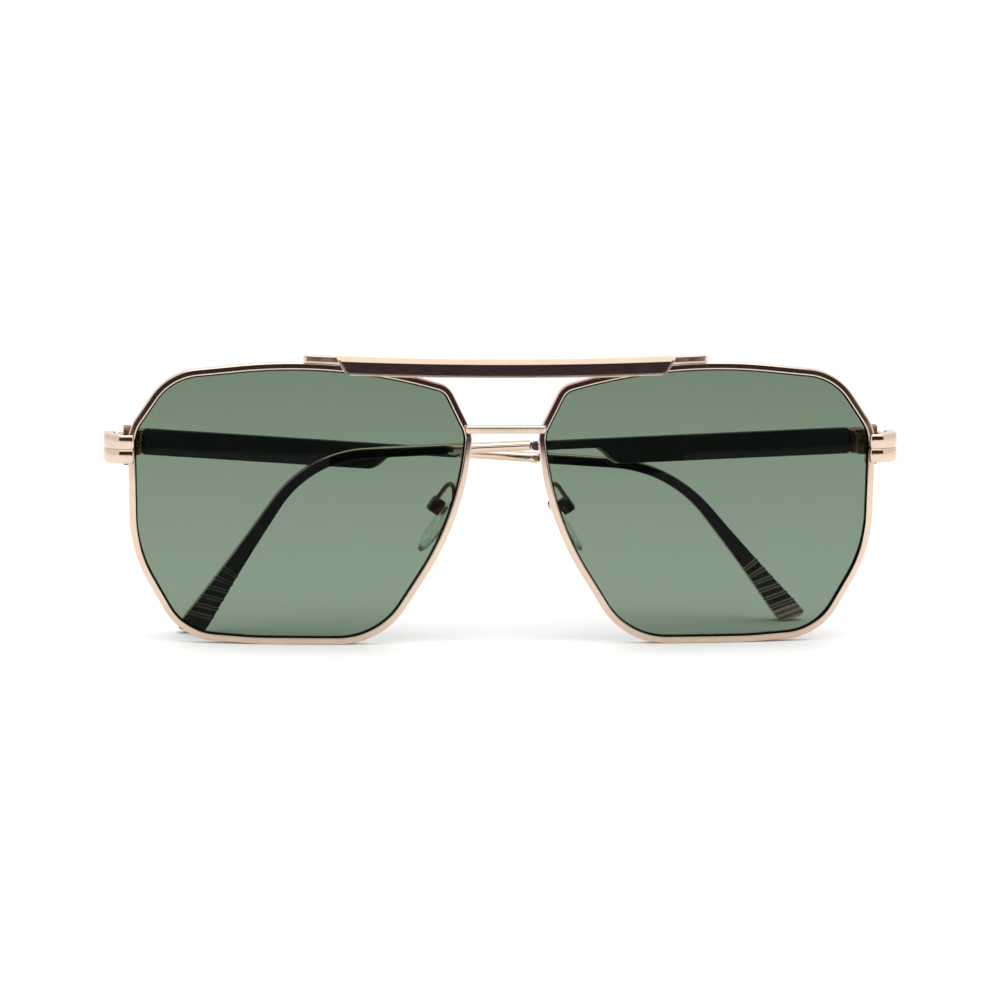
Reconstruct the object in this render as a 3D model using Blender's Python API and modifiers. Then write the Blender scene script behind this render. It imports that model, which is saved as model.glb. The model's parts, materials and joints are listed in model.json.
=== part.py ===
"""Square navigator sunglasses with a double bridge, standing folded on their rims and temple tips.

Lengths below are in millimetres and are turned to metres as each mesh is made. Sides are the
wearer's: left is +X, right is -X. +Y points to the back, towards the wearer, and +Z is up. Every
handed piece is drawn for the left side and reflected for the right one.
"""

import math
from collections import namedtuple

import bmesh
import bpy
from mathutils import Matrix, Vector

MM = 0.001
GAP = 0.1                      # running and joint clearance between neighbouring pieces
FRONT_Y = -14.4                # the front's zero plane: this centres the depth on the origin

# Rims: corners of the outer outline as (x, z, radius), anticlockwise from the rim split
SPLIT_Z = 35.5
RIM_CORNERS = [
    (68.1, SPLIT_Z, 0.0),
    (68.2, 38.8, 8.0),
    (61.0, 49.5, 11.5),
    (30.6, 53.0, 92.0),
    (10.2, 47.3, 4.0),
    (5.9, 38.6, 6.5),
    (7.5, 23.4, 55.0),
    (22.1, 0.0, 14.5),
    (45.0, 0.0, 66.0),
    (58.5, 0.8, 11.5),
    (67.7, 17.0, 25.0),
]
RIM_WIDTH = 1.2
RIM_DEPTH = 2.4
RIM_CHAMFER = 0.3
GROOVE_DEPTH = 0.7
GROOVE_WIDTH = 1.5
SPLIT_GAP = 0.3

# Lenses: a shallow dish whose middle is at LENS_X, LENS_Z
LENS_X = 37.0
LENS_Z = 27.0
DISH_RADIUS = 150.0
WRAP = math.radians(4.0)
LENS_THICKNESS = 1.3

# Brow bar and bridge bar
BROW_BOW = 0.65                # how much the ends stand above the middle
BROW_HALF = 31.0
PLATE_TOP = 52.35
PLATE_HEIGHT = 3.45
PLATE_SLANT = 1.9
PLATE_FRONT = -1.05
PLATE_THICKNESS = 1.1
INLAY_TOP = 1.05               # width of the gold edge above the inlay
INLAY_BOTTOM = 0.45
INLAY_END = 0.45
INLAY_DEPTH = 0.35
BACK_HALF = 36.7
BACK_TOP = 52.05
BACK_HEIGHT = 1.25
BRIDGE_HALF = 7.4
BRIDGE_Z = 39.55
BRIDGE_HEIGHT = 1.57
BRIDGE_FRONT = -1.1
BRIDGE_THICKNESS = 1.2

# Endpieces, rim locks and hinges
OUTER_X = 72.5                 # half of the overall width
WING_INNER_X = 70.1
WING_END_Y = 10.2
LOBE_HEIGHT = 2.6
LOBE_OVERLAP = 0.1
LOCK_X = (66.8, 68.85)
LOCK_Y = (6.95, 9.3)
LOCK_TOP = 39.2
LOCK_BOTTOM = 32.1
HINGE_X = 66.4
HINGE_Y = 11.5
KNUCKLE_RADIUS = 1.1
KNUCKLE_MID = 0.5              # half height of the temple's knuckle
KNUCKLE_END = 1.9              # top of the front's upper knuckle
PIN_RADIUS = 0.55
PIN_BORE = 0.65

# Temples, in their own axes: s along the arm from the hinge, t out from the axis, h up
INNER_T = 3.1
OUTER_T = 6.1
SHELL_T = 4.55                 # inner face of the metal behind the lining
BUTT_S = -1.2
PANEL_HALF = 2.45
STEP_S = (44.6, 48.3)          # where the deep panel steps up to the narrow arm
ARM_HALF = 0.9
ARM_H = 1.55
SHELL_TOP = 2.15               # the metal's upper edge beside the lining, which hides it
LINING_START = 1.5
LINING_END = 60.3
SLEEVE_START = 75.4
TIP_HALF = 2.35
TIP_GROWTH = 2.6
TIP_CORNER = 1.0
TIP_SKEW = 20.0                  # degrees by which the ribs and the end lean off square
RIB_COUNT = 6
RIB_PITCH = 1.9

# Nose pads
PAD_ANGLE = math.radians(35.0)
PAD_SPLAY = math.radians(7.0)
PAD_BOX = (11.55, 8.0, 24.3)
PAD_OFFSET = 1.9               # from the screw to the pad's middle plane
PAD_LENGTH = 11.0
PAD_WIDTH = 7.4
PAD_THICKNESS = 1.7
PAD_ABOVE = 2.4                # how far the pad reaches above its screw

# Looks: (colour, metallic, roughness, transmission)
GOLD_LOOK = ((0.80, 0.62, 0.46), 1.0, 0.12, 0.0)
BLACK_LOOK = ((0.010, 0.010, 0.014), 0.0, 0.15, 0.0)
LENS_LOOK = ((0.16, 0.24, 0.17), 0.0, 0.02, 0.9)
CLEAR_LOOK = ((0.9, 0.92, 0.9), 0.0, 0.1, 0.9)
ENAMEL_LOOK = ((0.035, 0.017, 0.022), 0.0, 0.2, 0.0)

# One temple's set: its droop from the hinge, how far it rests open, where the arm bends down, how
# tightly, and the tip's slope to the floor when folded. Angles are in degrees.
Side = namedtuple("Side", "name sign droop opened bend_start bend_radius slope")
LEFT = Side("left", 1, 2.5, 0.0, 90.5, 21.0, 56.0)
RIGHT = Side("right", -1, 4.5, 5.5, 89.4, 26.0, 50.5)

Place = namedtuple("Place", "parent mirror")


# ---------------------------------------------------------------- scene and objects

def clear_scene():
    for obj in list(bpy.data.objects):
        bpy.data.objects.remove(obj, do_unlink=True)


def new_collection(name):
    collection = bpy.data.collections.new(name)
    bpy.context.scene.collection.children.link(collection)
    return collection


def new_empty(name, matrix):
    empty = bpy.data.objects.new(name, None)
    empty.empty_display_size = 5 * MM
    PARTS.objects.link(empty)
    empty.matrix_world = matrix
    return empty


def new_object(name, place, mesh_data, collection):
    """An object from a bmesh in millimetres, reflected for its side and turned to metres."""
    bmesh.ops.transform(mesh_data, matrix=Matrix.Diagonal((*place.mirror, 1.0)), verts=mesh_data.verts)
    bmesh.ops.scale(mesh_data, vec=(MM, MM, MM), verts=mesh_data.verts)
    bmesh.ops.recalc_face_normals(mesh_data, faces=mesh_data.faces)
    mesh = bpy.data.meshes.new(name)
    mesh_data.to_mesh(mesh)
    mesh_data.free()
    obj = bpy.data.objects.new(name, mesh)
    collection.objects.link(obj)
    obj.parent = place.parent
    return obj


def part(name, place, mesh_data, look):
    """A named piece with its own Principled material."""
    obj = new_object(name, place, mesh_data, PARTS)
    colour, metallic, roughness, transmission = look
    material = bpy.data.materials.new(name)
    material.use_nodes = True
    shader = material.node_tree.nodes["Principled BSDF"]
    shader.inputs["Base Color"].default_value = (*colour, 1.0)
    shader.inputs["Metallic"].default_value = metallic
    shader.inputs["Roughness"].default_value = roughness
    shader.inputs["Transmission Weight"].default_value = transmission
    obj.data.materials.append(material)
    obj.data.shade_smooth()
    obj.data.set_sharp_from_angle(angle=math.radians(35))
    return obj


def helper(name, place, mesh_data):
    """A cutter, or a piece to be joined, that isn't a node of its own."""
    obj = new_object(name, place, mesh_data, CUTTERS)
    obj.hide_render = True
    obj.display_type = "WIRE"
    return obj


def boolean(target, other, operation):
    modifier = target.modifiers.new(other.name, "BOOLEAN")
    modifier.operation = operation
    modifier.solver = "EXACT"
    modifier.object = other


def join(target, place, mesh_data):
    boolean(target, helper(target.name + "_join", place, mesh_data), "UNION")


def cut(target, place, mesh_data):
    boolean(target, helper(target.name + "_cut", place, mesh_data), "DIFFERENCE")


# ---------------------------------------------------------------- shapes

def block(low, high):
    """A box between two corners."""
    data = bmesh.new()
    size = [b - a for a, b in zip(low, high)]
    middle = [(a + b) / 2 for a, b in zip(low, high)]
    matrix = Matrix.Translation(middle) @ Matrix.Diagonal((*size, 1.0))
    bmesh.ops.create_cube(data, size=1.0, matrix=matrix)
    return data


def rod(start, end, radius, end_radius=None, segments=12):
    """A cylinder, or a cone, from one point to another."""
    data = bmesh.new()
    start = Vector(start)
    run = Vector(end) - start
    turn = run.to_track_quat("Z", "Y").to_matrix().to_4x4()
    bmesh.ops.create_cone(
        data, cap_ends=True, segments=segments, radius1=radius,
        radius2=radius if end_radius is None else end_radius, depth=run.length,
        matrix=Matrix.Translation(start + run / 2) @ turn,
    )
    return data


def curve_mesh(curve):
    """The welded mesh of a curve, as a bmesh. The curve is removed."""
    obj = bpy.data.objects.new("outline", curve)
    CUTTERS.objects.link(obj)
    bpy.context.view_layer.update()
    evaluated = obj.evaluated_get(bpy.context.evaluated_depsgraph_get())
    mesh = bpy.data.meshes.new_from_object(evaluated)
    data = bmesh.new()
    data.from_mesh(mesh)
    bmesh.ops.remove_doubles(data, verts=data.verts, dist=0.0005)
    bpy.data.meshes.remove(mesh)
    bpy.data.objects.remove(obj)
    return data


def add_spline(curve, points, cyclic):
    spline = curve.splines.new("POLY")
    spline.points.add(len(points) - 1)
    for point, (x, y, *z) in zip(spline.points, points):
        point.co = (x, y, z[0] if z else 0.0, 1.0)
    spline.use_cyclic_u = cyclic


def plate(outline, low, high, plane):
    """A flat outline extruded from low to high across its plane: "xz", "xy" or "sh"."""
    curve = bpy.data.curves.new("plate", "CURVE")
    curve.dimensions = "2D"
    curve.fill_mode = "BOTH"
    curve.extrude = (high - low) / 2
    add_spline(curve, outline, cyclic=True)
    data = curve_mesh(curve)
    for vertex in data.verts:
        x, y, z = vertex.co
        across = z + (low + high) / 2
        vertex.co = (x, y, across) if plane == "xy" else (x, across, y)
    return data


def wire(points, radius):
    """A round wire through the points."""
    curve = bpy.data.curves.new("wire", "CURVE")
    curve.dimensions = "3D"
    curve.bevel_depth = radius
    curve.bevel_resolution = 2
    curve.use_fill_caps = True
    add_spline(curve, points, cyclic=False)
    return curve_mesh(curve)


def sweep(points, profile):
    """A section carried along an open flat path. The section is (outwards, across the plane)."""
    section = bpy.data.curves.new("section", "CURVE")
    section.dimensions = "2D"
    add_spline(section, profile, cyclic=True)
    section_object = bpy.data.objects.new("section", section)
    CUTTERS.objects.link(section_object)
    curve = bpy.data.curves.new("sweep", "CURVE")
    curve.dimensions = "2D"
    curve.bevel_mode = "OBJECT"
    curve.bevel_object = section_object
    curve.use_fill_caps = True
    add_spline(curve, points, cyclic=False)
    data = curve_mesh(curve)
    bpy.data.objects.remove(section_object)
    return data


def shrink(corners, distance):
    """The corners of an anticlockwise convex outline, moved in by a distance."""
    moved = []
    for i, (x, y, radius) in enumerate(corners):
        corner = Vector((x, y))
        before = (corner - Vector(corners[i - 1][:2])).normalized()
        after = (Vector(corners[(i + 1) % len(corners)][:2]) - corner).normalized()
        inward = Vector((-before.y, before.x)) + Vector((-after.y, after.x))
        inward *= distance / (1 + before.dot(after))
        moved.append((*(corner + inward), max(radius - distance, 0.0)))
    return moved


def rounded(corners, arc_step=math.radians(12), run=6.0):
    """Points round a closed outline whose corners are arcs, with long runs divided."""
    points = []
    for i, (x, y, radius) in enumerate(corners):
        corner = Vector((x, y))
        before = (corner - Vector(corners[i - 1][:2])).normalized()
        after = (Vector(corners[(i + 1) % len(corners)][:2]) - corner).normalized()
        turn = before.angle_signed(after) * -1
        if radius <= 0 or abs(turn) < 1e-3:
            points.append(corner)
            continue
        reach = radius * math.tan(abs(turn) / 2)
        start = corner - before * reach
        centre = start + Vector((-before.y, before.x)) * radius * math.copysign(1, turn)
        count = max(2, math.ceil(max(abs(turn) / arc_step, radius * abs(turn) / run)))
        for k in range(count + 1):
            spoke = start - centre
            spoke.rotate(Matrix.Rotation(turn * k / count, 2))
            points.append(centre + spoke)
    divided = []
    for i, point in enumerate(points):
        step = points[(i + 1) % len(points)] - point
        pieces = max(1, math.ceil(step.length / run))
        divided += [point + step * k / pieces for k in range(pieces)]
    return [(p.x, p.y) for p in divided]


def dish(x, z):
    """How far back the lens surface lies at a point of the front."""
    u = abs(x) - LENS_X
    v = z - LENS_Z
    return math.tan(WRAP) * u + (u * u + v * v) / (2 * DISH_RADIUS)


# ---------------------------------------------------------------- the front

def rim(side, place):
    """A channel-section wire bent round the lens and split at the lock."""
    path = rounded(shrink(RIM_CORNERS, RIM_WIDTH / 2))
    x, z = path[0]
    path = [(x, z + SPLIT_GAP / 2)] + path[1:] + [(x, z - SPLIT_GAP / 2)]
    w = RIM_WIDTH / 2
    d = RIM_DEPTH / 2
    g = GROOVE_WIDTH / 2
    floor = w - GROOVE_DEPTH
    c = RIM_CHAMFER
    profile = [
        (w - c, -d), (-w, -d), (-w, -g), (-floor, -g), (-floor, g),
        (-w, g), (-w, d), (w - c, d), (w, d - c), (w, c - d),
    ]
    data = sweep(path, profile)
    for vertex in data.verts:
        x, z, across = vertex.co
        vertex.co = (x, across + dish(x, z), z)
    part("rim_" + side.name, place, data, GOLD_LOOK)


def lens(side, place):
    """A dished sheet cut to the outline that the rim's groove holds."""
    data = bmesh.new()
    bmesh.ops.create_grid(
        data, x_segments=12, y_segments=10, size=1.0,
        matrix=Matrix.Translation((LENS_X, LENS_Z, 0)) @ Matrix.Diagonal((34.0, 29.0, 1.0, 1.0)),
    )
    for vertex in data.verts:
        x, z, _ = vertex.co
        vertex.co = (x, dish(x, z), z)
    obj = part("lens_" + side.name, place, data, LENS_LOOK)
    wall = obj.modifiers.new("thickness", "SOLIDIFY")
    wall.thickness = LENS_THICKNESS * MM
    wall.offset = 0.0
    outline = rounded(shrink(RIM_CORNERS, RIM_WIDTH - GROOVE_DEPTH + GAP))
    prism = helper(obj.name + "_outline", place, plate(outline, -15.0, 20.0, "xz"))
    boolean(obj, prism, "INTERSECT")


def bow(x):
    """How far the brow has risen at x, from its middle."""
    return BROW_BOW * (x / BROW_HALF) ** 2


def brow_outline(half, top, bottom, slant, count=12):
    """A bar that bows down in the middle, with slanted ends: the lower corners are rounded."""
    low_half = half - slant
    upper = [half * (1 - 2 * k / count) for k in range(count + 1)]
    upper = [(x, top + bow(x)) for x in upper]
    lower = [low_half * (2 * k / count - 1) for k in range(count + 1)]
    lower = [(x, bottom + bow(x)) for x in lower]
    if slant:
        corner = 0.8
        lift = 0.35
        lower[0] = (lower[0][0] + corner, lower[0][1])
        lower[-1] = (lower[-1][0] - corner, lower[-1][1])
        lower = [(-low_half, lower[0][1] + lift)] + lower + [(low_half, lower[-1][1] + lift)]
    return upper + lower


def brow(place):
    """The backing bar on the rims' tops, the plate before it, and the enamel in its pocket."""
    outline = brow_outline(BACK_HALF, BACK_TOP, BACK_TOP - BACK_HEIGHT, 0.0)
    back_y = PLATE_FRONT + PLATE_THICKNESS + GAP
    part("brow_bar", place, plate(outline, back_y, back_y + 2.1, "xz"), GOLD_LOOK)

    bottom = PLATE_TOP - PLATE_HEIGHT
    outline = brow_outline(BROW_HALF, PLATE_TOP, bottom, PLATE_SLANT)
    face = part(
        "brow_plate", place,
        plate(outline, PLATE_FRONT, PLATE_FRONT + PLATE_THICKNESS, "xz"), GOLD_LOOK,
    )
    for name, gap in (("pocket", 0.0), ("inlay", 0.06)):
        half = BROW_HALF - 1.3 * INLAY_END - INLAY_TOP * PLATE_SLANT / PLATE_HEIGHT - gap
        slant = PLATE_SLANT * (PLATE_HEIGHT - INLAY_TOP - INLAY_BOTTOM) / PLATE_HEIGHT
        outline = brow_outline(
            half, PLATE_TOP - INLAY_TOP - gap, bottom + INLAY_BOTTOM + gap, slant)
        if name == "pocket":
            cut(face, place, plate(outline, PLATE_FRONT - 1, PLATE_FRONT + INLAY_DEPTH, "xz"))
        else:
            depth = PLATE_FRONT + INLAY_DEPTH - gap
            part("brow_inlay", place, plate(outline, PLATE_FRONT + 0.02, depth, "xz"), ENAMEL_LOOK)


def bridge(place):
    """The lower bar, lapped on the fronts of both rims."""
    r = BRIDGE_HEIGHT / 2
    x = BRIDGE_HALF
    low = BRIDGE_Z - r
    high = BRIDGE_Z + r
    corner = 0.95 * r
    outline = rounded([(x, high, corner), (-x, high, corner), (-x, low, corner), (x, low, corner)])
    data = plate(outline, BRIDGE_FRONT, BRIDGE_FRONT + BRIDGE_THICKNESS, "xz")
    part("bridge_bar", place, data, GOLD_LOOK)


def endpiece(side, place):
    """Two cushioned lobes that lap on the rim's front and turn back towards the hinge."""
    corners = [
        (66.95, 2.7, 0.0), (OUTER_X, 2.7, 2.3), (OUTER_X, WING_END_Y, 0.0),
        (WING_INNER_X, WING_END_Y, 0.0), (WING_INNER_X, 6.85, 0.0), (68.35, 6.3, 0.0),
        (68.35, 3.9, 0.0), (66.95, 3.9, 0.0),
    ]
    outline = rounded(corners, arc_step=math.radians(23))
    name = "endpiece_" + side.name
    middle = SPLIT_Z + LOBE_OVERLAP / 2
    data = plate(outline, middle - LOBE_HEIGHT, middle, "xy")
    obj = part(name, place, data, GOLD_LOOK)
    soften(obj)
    middle -= LOBE_OVERLAP
    data = plate(outline, middle, middle + LOBE_HEIGHT, "xy")
    upper = helper(name + "_upper", place, data)
    soften(upper)
    boolean(obj, upper, "UNION")


def soften(obj, width=0.45):
    """Rounded edges."""
    bevel = obj.modifiers.new("rounding", "BEVEL")
    bevel.width = width * MM
    bevel.segments = 2
    bevel.limit_method = "ANGLE"
    bevel.angle_limit = math.radians(50)


def rim_lock(side, place):
    """Two blocks brazed to the rim's ends behind the split, and the screw that closes them."""
    x = sum(LOCK_X) / 2
    y = sum(LOCK_Y) / 2
    spans = {
        "upper": (SPLIT_Z + SPLIT_GAP / 2, LOCK_TOP),
        "lower": (LOCK_BOTTOM, SPLIT_Z - SPLIT_GAP / 2),
    }
    for level, (low, high) in spans.items():
        data = block((LOCK_X[0], LOCK_Y[0], low), (LOCK_X[1], LOCK_Y[1], high))
        obj = part(f"rim_lock_{level}_{side.name}", place, data, GOLD_LOOK)
        cut(obj, place, rod((x, y, low - 1), (x, y, high + 1), 0.6))
        if level == "upper":
            cut(obj, place, rod((x, y, high - 0.75), (x, y, high + 1), 0.9))
    data = rod((x, y, LOCK_BOTTOM + 0.2), (x, y, LOCK_TOP - 0.3), 0.5)
    screw = part("rim_screw_" + side.name, place, data, GOLD_LOOK)
    join(screw, place, rod((x, y, LOCK_TOP - 0.65), (x, y, LOCK_TOP - 0.05), 0.8))
    cut(screw, place, block((x - 2, y - 0.12, LOCK_TOP - 0.3), (x + 2, y + 0.12, LOCK_TOP + 1)))


def front_hinge(side, place):
    """The leaf on the endpiece's wing with the two outer knuckles, and the hinge screw."""
    data = block((2.6, -4.4, -2.1), (3.5, -1.4, 2.1))
    obj = part("front_hinge_" + side.name, place, data, GOLD_LOOK)
    for sign in (-1, 1):
        ends = sorted((sign * (KNUCKLE_MID + GAP), sign * KNUCKLE_END))
        join(obj, place, block((0.0, -2.1, ends[0]), (3.0, -0.2, ends[1])))
        join(obj, place, rod((0, 0, ends[0]), (0, 0, ends[1]), KNUCKLE_RADIUS))
    cut(obj, place, rod((0, 0, -4), (0, 0, 4), PIN_BORE))

    data = rod((0, 0, -KNUCKLE_END - 0.2), (0, 0, KNUCKLE_END + 0.3), PIN_RADIUS)
    screw = part("hinge_screw_" + side.name, place, data, GOLD_LOOK)
    join(screw, place, rod((0, 0, KNUCKLE_END + GAP), (0, 0, KNUCKLE_END + 0.6), 0.95))
    cut(screw, place, block((-2, -0.12, KNUCKLE_END + 0.35), (2, 0.12, KNUCKLE_END + 2)))


# ---------------------------------------------------------------- the temples

def tip_bend(side):
    return math.radians(side.slope - side.droop)


def tip_length(side):
    """The straight end of the tip, as long as it takes to reach the floor when folded."""
    bend = tip_bend(side)
    s = side.bend_start + side.bend_radius * math.sin(bend)
    h = ARM_H - side.bend_radius * (1 - math.cos(bend))
    droop = math.radians(side.droop)
    height = SPLIT_Z - s * math.sin(droop) + h * math.cos(droop)
    return (height - TIP_HALF) / math.sin(math.radians(side.slope))


def along(side, q):
    """The arm's middle line at arc length q: its (s, h) and the direction across it."""
    bend = tip_bend(side)
    arc = side.bend_radius * bend
    turned = min(max(q - side.bend_start, 0.0) / side.bend_radius, bend)
    s = min(q, side.bend_start) + side.bend_radius * math.sin(turned)
    h = ARM_H - side.bend_radius * (1 - math.cos(turned))
    rest = max(q - side.bend_start - arc, 0.0)
    s += rest * math.cos(bend)
    h -= rest * math.sin(bend)
    return Vector((s, h)), Vector((math.sin(turned), math.cos(turned)))


def tip_end(side):
    return side.bend_start + side.bend_radius * tip_bend(side) + tip_length(side)


def half_width(side, q):
    """Half of the arm's depth: even along the arm, growing along the tip."""
    share = (q - side.bend_start) / (tip_end(side) - side.bend_start)
    share = min(max(share, 0.0), 1.0)
    return ARM_HALF + (TIP_HALF - ARM_HALF) * share ** TIP_GROWTH


def ribbon(side, start, end, trim, count=16):
    """Two lists of points, above and below the middle line from start to end, and a squared end."""
    bent = side.bend_start
    stations = [start] + [bent + (end - bent) * k / count for k in range(count + 1)]
    above = []
    below = []
    for q in stations:
        middle, across = along(side, q)
        reach = half_width(side, q) - trim
        above.append(middle + across * reach)
        below.append(middle - across * reach)
    middle, across = along(side, end)
    onward = Vector((across.y, -across.x))
    radius = TIP_CORNER - trim
    inside = TIP_HALF - TIP_CORNER
    lower = inside * math.tan(math.radians(side.slope) / 2)
    upper = lower + 2 * TIP_HALF * math.tan(math.radians(TIP_SKEW))
    cap = []
    for level, further in ((1, upper), (-1, lower)):
        centre = middle + across * level * inside + onward * further
        for k in range(4):
            a = math.pi * (k + (0 if level > 0 else 3)) / 6
            cap.append(centre + across * radius * math.cos(a) + onward * radius * math.sin(a))
    return above, cap, below


def step_up(low, high, shift, count=6):
    """The curved step from the panel's lower edge up to the narrow arm's."""
    s0, s1 = STEP_S
    return [
        (s0 + shift + (s1 - s0) * k / count,
         low + (high - low) * (1 - math.cos(math.pi * k / count)) / 2)
        for k in range(count + 1)
    ]


def temple_shell(side, place):
    """The metal arm: deep beside the lining, narrow to the tip, full thickness where it is bare."""
    end = tip_end(side)
    above, cap, below = ribbon(side, STEP_S[1] + 0.5, end, 0.0)
    outline = [(BUTT_S, -PANEL_HALF), (BUTT_S, SHELL_TOP), (LINING_END - 1.0, SHELL_TOP)]
    above[0] = Vector((LINING_END, PANEL_HALF))
    outline += [tuple(p) for p in above + cap + below[::-1]]
    outline += step_up(-PANEL_HALF, ARM_H - ARM_HALF, 0.5)[::-1]
    obj = part("temple_shell_" + side.name, place, plate(outline, SHELL_T, OUTER_T, "sh"), GOLD_LOOK)
    joint_t = SHELL_T + 0.2
    join(obj, place, block((BUTT_S + 0.05, INNER_T + GAP, -PANEL_HALF + 0.05),
                           (LINING_START - GAP, joint_t, SHELL_TOP - 0.05)))
    join(obj, place, block((LINING_END + GAP, INNER_T + 0.2, ARM_H - ARM_HALF + 0.05),
                           (SLEEVE_START - GAP, joint_t, ARM_H + ARM_HALF - 0.05)))


def temple_lining(side, place):
    """The glossy lining on the arm's inner face, with a rounded end on the narrow part."""
    top = PANEL_HALF
    bottom = 0.08 - PANEL_HALF
    low = ARM_H - ARM_HALF + 0.08
    radius = (top - low) / 2
    corners = [(LINING_START, top, 0.8), (LINING_START, bottom, 0.8), (STEP_S[0] - 4, bottom, 0)]
    outline = rounded(corners, arc_step=math.radians(30), run=80.0)[:-1]
    outline += step_up(bottom, low, 0.0)
    centre = (LINING_END - radius, (top + low) / 2)
    outline += [
        (centre[0] + radius * math.sin(a), centre[1] - radius * math.cos(a))
        for a in (math.pi * k / 6 for k in range(7))
    ]
    data = plate(outline, INNER_T, SHELL_T - GAP, "sh")
    part("temple_lining_" + side.name, place, data, BLACK_LOOK)


def temple_tip(side, place):
    """The black grip on the tip's inner face, ribbed near its end."""
    end = tip_end(side)
    radius = ARM_HALF - 0.08
    above, cap, below = ribbon(side, SLEEVE_START + radius, end, 0.08)
    outline = [tuple(p) for p in above + cap + below[::-1]]
    outline += [
        (SLEEVE_START + radius * (1 - math.sin(a)), ARM_H - radius * math.cos(a))
        for a in (math.pi * k / 6 for k in range(1, 6))
    ]
    obj = part("temple_tip_" + side.name, place,
               plate(outline, INNER_T - 0.1, SHELL_T - GAP, "sh"), BLACK_LOOK)
    for k in range(RIB_COUNT):
        middle, across = along(side, end - 1.3 - RIB_PITCH * k)
        tilt = math.atan2(across.x, across.y) + math.radians(TIP_SKEW)
        data = block((-0.25, INNER_T - 1.0, -4.0), (0.25, INNER_T + 0.15, 4.0))
        turn = Matrix.Translation((middle.x, 0, middle.y)) @ Matrix.Rotation(tilt, 4, "Y")
        bmesh.ops.transform(data, matrix=turn, verts=data.verts)
        cut(obj, place, data)


def temple_hinge(side, place):
    """The leaf on the temple's metal end, with the middle knuckle."""
    data = block((0.3, 2.2, -1.9), (LINING_START - GAP, INNER_T, 1.9))
    obj = part("temple_hinge_" + side.name, place, data, GOLD_LOOK)
    join(obj, place, block((0.0, 0.0, -KNUCKLE_MID), (1.05, 2.6, KNUCKLE_MID)))
    join(obj, place, rod((0, 0, -KNUCKLE_MID), (0, 0, KNUCKLE_MID), KNUCKLE_RADIUS))
    cut(obj, place, rod((0, 0, -4), (0, 0, 4), PIN_BORE))


# ---------------------------------------------------------------- the nose pads

def pad_axes(sign):
    """The pad's length, width and facing directions, for its side."""
    along_pad = Vector((math.sin(PAD_ANGLE), 0, -math.cos(PAD_ANGLE)))
    facing = Vector((-math.cos(PAD_ANGLE), 0, -math.sin(PAD_ANGLE)))
    width = Vector((0, 1, 0)) * math.cos(PAD_SPLAY) - facing * math.sin(PAD_SPLAY)
    facing = facing * math.cos(PAD_SPLAY) + Vector((0, 1, 0)) * math.sin(PAD_SPLAY)
    return [Vector((sign * v.x, v.y, v.z)) for v in (along_pad, width, facing)]


def pad_arm(side, place):
    """A wire looped up and back from the rim to an open cup behind the pad."""
    box = Vector(PAD_BOX)
    _, width, facing = pad_axes(1)
    behind = box - facing * 1.2
    route = [
        (9.3, dish(9.3, 24.6) + RIM_DEPTH / 2 + 0.65, 24.6),
        (9.0, 4.0, 26.4), (8.95, 4.7, 28.0), (9.4, 5.5, 28.8),
        (10.2, 6.2, 28.3), (11.2, 6.7, 26.9),
        (12.0, 7.0, 25.6), tuple(behind),
    ]
    obj = part("pad_arm_" + side.name, place, wire(route, 0.5), GOLD_LOOK)
    join(obj, place, rod(box - facing * 1.6, box + facing * 0.6, 1.5))
    cut(obj, place, rod(box - facing * 0.9, box + facing * 3.0, 1.15))
    cut(obj, place, rod(box - width * 3.0, box + width * 3.0, 0.38))


def nose_pad(side, place):
    """The clear pad, the metal insert in it whose stem sits in the cup, and the screw."""
    middle = PAD_LENGTH / 2 - PAD_ABOVE
    data = bmesh.new()
    size = Matrix.Diagonal((PAD_LENGTH / 2, PAD_WIDTH / 2, PAD_THICKNESS / 2, 1.0))
    bmesh.ops.create_uvsphere(
        data, u_segments=20, v_segments=8, radius=1.0,
        matrix=Matrix.Translation((middle, 0, PAD_OFFSET)) @ size,
    )
    pad = part("nose_pad_" + side.name, place, data, CLEAR_LOOK)
    face = PAD_OFFSET - 0.25
    cut(pad, place, rod((0, 0, -1), (0, 0, face + 0.1), 1.1))

    data = rod((0, 0, face - 0.45), (0, 0, face), 1.0)
    insert = part("pad_insert_" + side.name, place, data, GOLD_LOOK)
    join(insert, place, block((-0.6, -0.55, -0.55), (0.6, 0.55, face - 0.3)))
    cut(insert, place, rod((0, -2, 0), (0, 2, 0), 0.42))

    screw = part("pad_screw_" + side.name, place, rod((0, -1.7, 0), (0, 1.7, 0), 0.3), GOLD_LOOK)
    join(screw, place, rod((0, 1.6, 0), (0, 2.0, 0), 0.6))


# ---------------------------------------------------------------- the assembly

def axes_matrix(origin, first, second, third):
    matrix = Matrix((first, second, third)).transposed().to_4x4()
    matrix.translation = origin
    return matrix


def hinge_origin(side):
    return Vector((side.sign * HINGE_X, HINGE_Y + FRONT_Y, SPLIT_Z)) * MM


def hinge_matrix(side, opened):
    """The temple's axes on its hinge: along the arm, across it, and up the pin."""
    g = side.sign
    droop = math.radians(side.droop)
    folded = Vector((-g * math.cos(droop), 0, -math.sin(droop)))
    back = Vector((0, 1, 0))
    along_arm = folded * math.cos(opened) + back * math.sin(opened)
    outwards = back * math.cos(opened) - folded * math.sin(opened)
    pin = Vector((-g * math.sin(droop), 0, math.cos(droop)))
    return axes_matrix(hinge_origin(side), along_arm, outwards * -g, pin)


def pin_matrix(side):
    """Axes on the pin that don't turn with the temple: across the front, back, up the pin."""
    g = side.sign
    droop = math.radians(side.droop)
    pin = Vector((-g * math.sin(droop), 0, math.cos(droop)))
    across = Vector((math.cos(droop), 0, g * math.sin(droop)))
    return axes_matrix(hinge_origin(side), across, Vector((0, 1, 0)), pin)


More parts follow.
